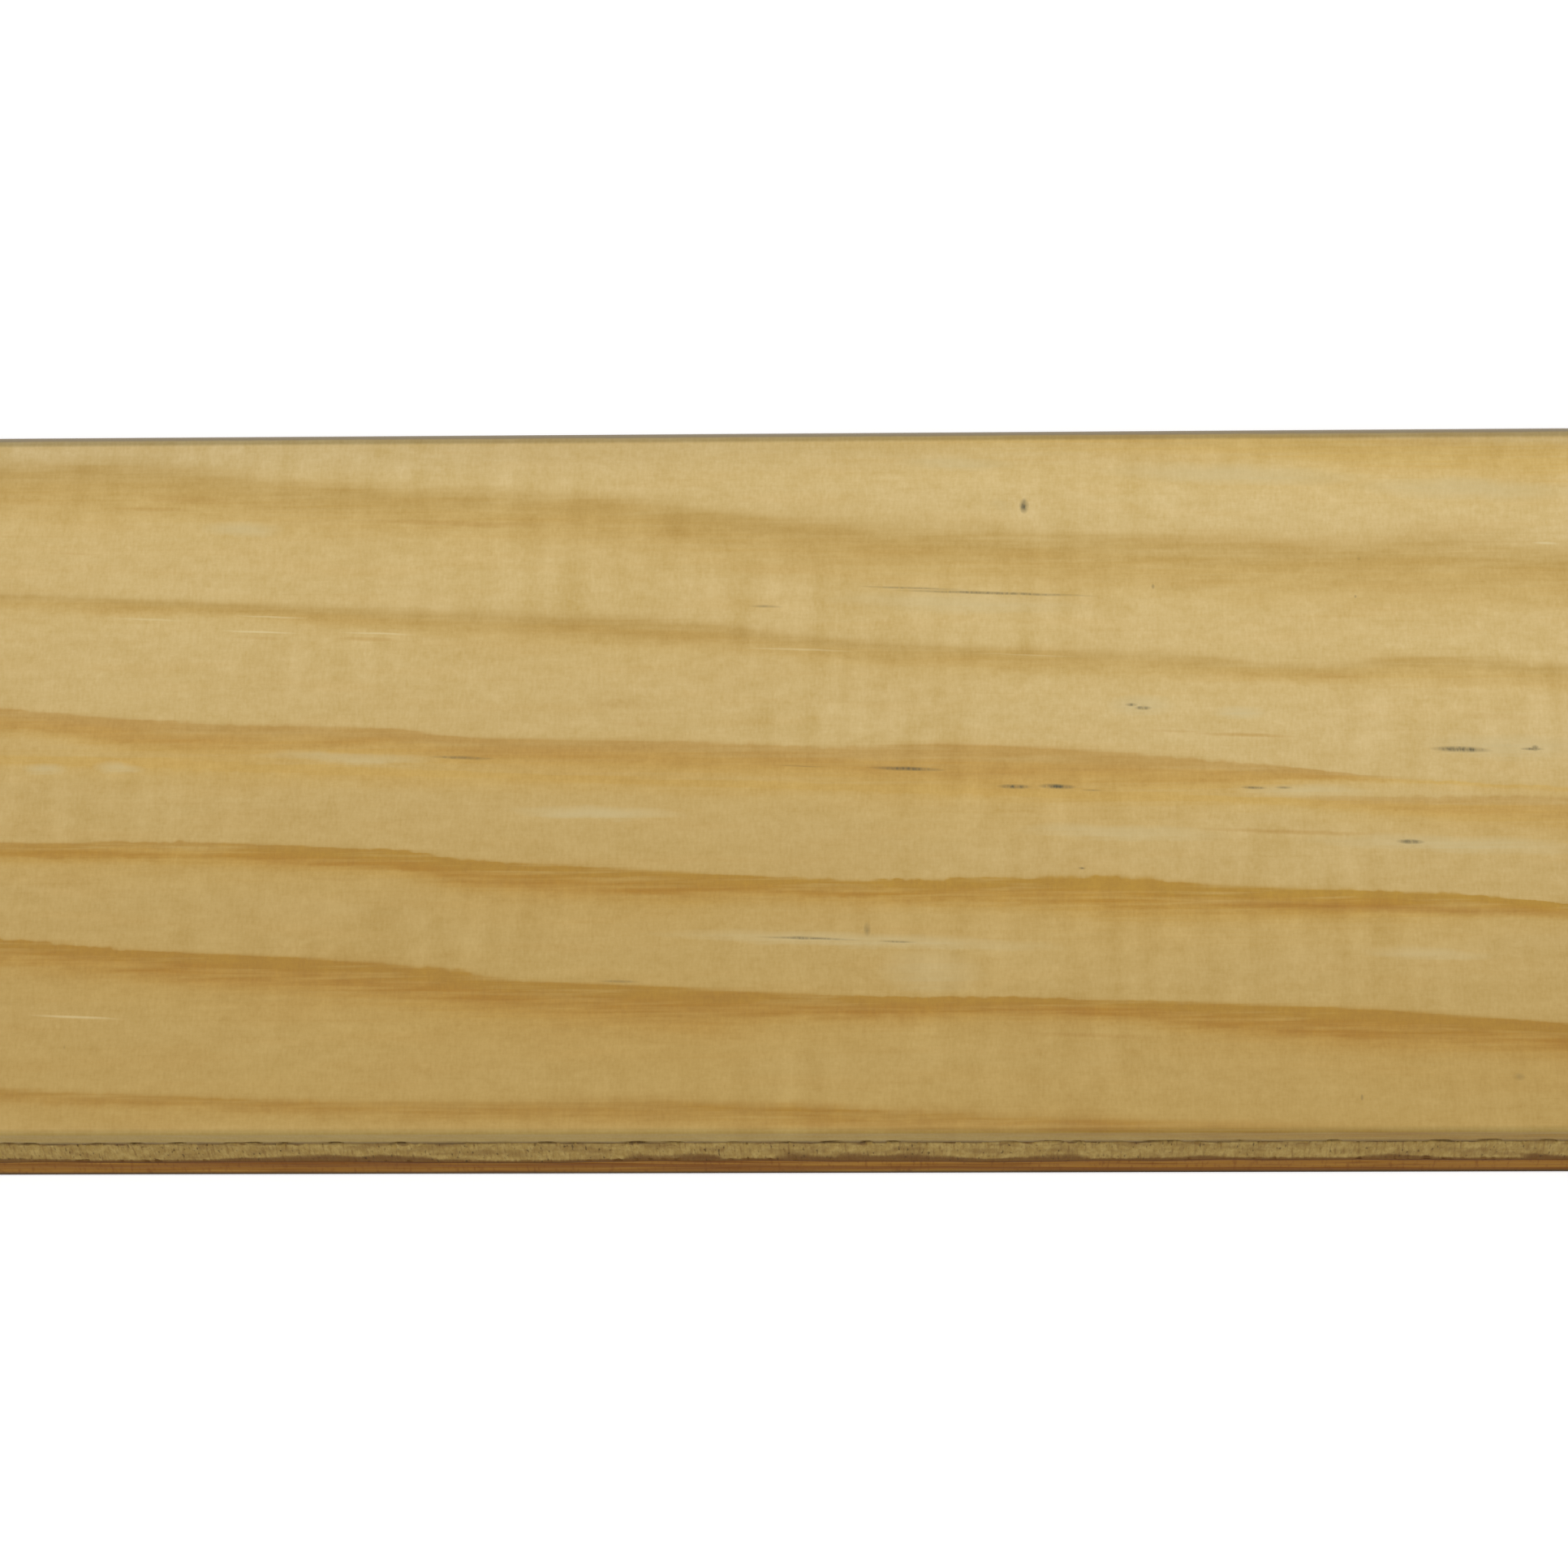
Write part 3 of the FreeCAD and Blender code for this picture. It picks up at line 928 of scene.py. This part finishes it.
def back_finish():
    wood = Finish(bpy.data.materials.new("rough_pine_back"))
    x, y, z = wood.place()
    slow = wood.grain(x, y, 0 * z, (170, 60, 1), 1)
    drift = (x * (math.pi / HALF_LENGTH) + 0.8).wave() * DRIFT
    phase = (y + drift + z * 2.4 + slow * 3.5) / BACK_RING
    late = phase.fraction().fade(0.35, 0.95) * phase.fraction().fade(1.0, 0.95)
    fibre = wood.grain(x, y, z, (13, 0.8, 0.5), 3)
    streak = wood.grain(x, y, z, (30, 2.5, 0.8), 1)
    comb = wood.grain(x, y, z, (0.35, 6, 1.5), 1)
    colour = wood.mix(late * 0.7, BACK_WOOD, BACK_RED)
    colour = wood.mix(streak.fade(0.0, 0.8) * 0.75, colour, BACK_OCHRE)
    colour = wood.mix(fibre.fade(-0.1, 0.7) * 0.8, colour, BACK_RED)
    colour = wood.mix(comb.fade(0.0, 0.9) * 0.55, colour, BACK_RED)
    below = wood.node("ShaderNodeAttribute", {"attribute_name": "below_glue"}, None, "Fac")
    colour = wood.mix((below + fibre * 0.12).fade(0.5, 0.12) * 0.85, colour, GLUE_RED)
    sawn = abs(y).fade(HALF_WIDTH - 0.3, HALF_WIDTH - 0.05)
    # Painted shade along the lowest millimetre of the sawn edges, where the board meets the floor.
    colour = wood.mix(z.fade(1.0, 0.35) * sawn * 0.95, colour, FLOOR_EDGE_SHADE)
    relief = fibre + late * 0.6
    bump = wood.node("ShaderNodeBump", None, {"Height": relief, "Distance": 0.00006, "Strength": 0.6})
    shader = wood.node("ShaderNodeBsdfPrincipled", None, {
        "Base Color": colour,
        "Roughness": 0.7 + fibre * 0.05,
        "Specular IOR Level": 0.1,
        "Normal": bump,
    })
    wood.node("ShaderNodeOutputMaterial", None, {"Surface": shader})
    return wood.owner


back_material = back_finish()
back_ply.data.materials.append(back_material)
print("the back finish has", len(back_material.node_tree.nodes), "nodes")

# %% [markdown]
# ## Putting the plies into the frame
# Each skin stands for its ply in the frame and moves with the board's one body.

# %% Tie the skins to the frame
for piece, node, slot in (
    (face_ply, "face_ply", "face_veneer"),
    (core_ply, "core_ply", "core_veneer"),
    (back_ply, "back_ply", "back_veneer"),
):
    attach(piece, "root")
    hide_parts(node)
    print(piece.name, "stands for", node)

# %% [markdown]
# ## A plain white studio
# The board lies on a pale floor under a soft, even light, so that its colours come out as they
# are written. The floor and the sky look pure white to the camera and in the varnish, but the
# light that they throw is plain, and the floor still keeps the board's shadow. The lamp stands in
# front and high up, so that most of that shadow falls behind the board.

# %% The floor
def seen_as_white(stage):
    """1 for what the camera sees, straight or by way of varnish or glass, and 0 for the rest."""
    names = ("Is Camera Ray", "Is Glossy Ray", "Is Transmission Ray")
    camera, glossy, through = [stage.node("ShaderNodeLightPath", None, None, name) for name in names]
    return (camera + glossy + through).at_most(1)


def white_floor():
    stage = Finish(bpy.data.materials.new("white_floor"))
    matt = stage.node("ShaderNodeBsdfDiffuse", None, {"Color": (0.86, 0.86, 0.86, 1)})
    glow = stage.node("ShaderNodeEmission", None, {"Color": (1, 1, 1, 1), "Strength": 0.38})
    white = stage.node("ShaderNodeAddShader", None, {0: matt, 1: glow})
    chosen = stage.node("ShaderNodeMixShader", None, {0: seen_as_white(stage), 1: matt, 2: white})
    stage.node("ShaderNodeOutputMaterial", None, {"Surface": chosen})
    return stage.owner


FLOOR_REACH = 40.0  # metres, far enough to meet the sky at a low view
FLOOR_GAP = 0.02  # mm below the board, so that the two surfaces don't lie in one plane
corners = [(-1, -1, 0), (1, -1, 0), (1, 1, 0), (-1, 1, 0)]
floor_mesh = bpy.data.meshes.new("floor")
floor_mesh.from_pydata([Vector(c) * FLOOR_REACH for c in corners], [], [(0, 1, 2, 3)])
floor_mesh.materials.append(white_floor())
floor = bpy.data.objects.new("floor", floor_mesh)
floor.location.z = cad_box[0].z - FLOOR_GAP * MM
bpy.context.scene.collection.objects.link(floor)
print("the floor lies at", round(floor.location.z / MM, 2), "mm")

# %% The sky and the lamp
SKY_LIGHT = 0.44
LAMP_STRENGTH = 1.6


def white_sky():
    stage = Finish(bpy.data.worlds.new("white_sky"))
    plain = stage.node("ShaderNodeBackground", None, {"Color": (1, 1, 1, 1), "Strength": SKY_LIGHT})
    white = stage.node("ShaderNodeBackground", None, {"Color": (1, 1, 1, 1), "Strength": 1.0})
    chosen = stage.node("ShaderNodeMixShader", None, {0: seen_as_white(stage), 1: plain, 2: white})
    stage.node("ShaderNodeOutputWorld", None, {"Surface": chosen})
    return stage.owner


bpy.context.scene.world = white_sky()
lamp_data = bpy.data.lights.new("studio_lamp", "SUN")
lamp_data.energy = LAMP_STRENGTH
lamp_data.angle = math.radians(50)
lamp = bpy.data.objects.new("studio_lamp", lamp_data)
lamp.rotation_euler = Vector((-0.25, -0.36, 0.9)).to_track_quat("Z", "Y").to_euler()
bpy.context.scene.collection.objects.link(lamp)
print("lit by the sky at", SKY_LIGHT, "and a soft lamp at", LAMP_STRENGTH)

# %% [markdown]
# ## The camera
# It looks down on the middle of the show face from in front of the floor edge, close enough that
# the board runs off both sides, and turned a little, so that the long edges aren't quite level.

# %% Aim the camera
CAMERA_AZIMUTH = math.radians(4.52)
CAMERA_ELEVATION = math.radians(62.41)
CAMERA_ROLL = math.radians(-4.27)
CAMERA_DISTANCE = 597.2 * MM
FIELD_OF_VIEW = math.radians(15)

aim = Vector((0.2, -1.76, FACE_TOP)) * MM
level = math.cos(CAMERA_ELEVATION)
rise = math.sin(CAMERA_ELEVATION)
toward = Vector((math.sin(CAMERA_AZIMUTH) * level, -math.cos(CAMERA_AZIMUTH) * level, rise))
camera_data = bpy.data.cameras.new("camera")
camera_data.angle = FIELD_OF_VIEW
camera_data.clip_start = 0.01
camera_data.clip_end = 200
camera = bpy.data.objects.new("camera", camera_data)
turn = toward.to_track_quat("Z", "Y").to_matrix() @ Matrix.Rotation(CAMERA_ROLL, 3, "Z")
camera.matrix_world = Matrix.Translation(aim + toward * CAMERA_DISTANCE) @ turn.to_4x4()
bpy.context.scene.collection.objects.link(camera)
bpy.context.scene.camera = camera
bpy.context.scene.view_settings.view_transform = "Standard"
print("the camera stands at", [round(c, 3) for c in camera.location], "m")
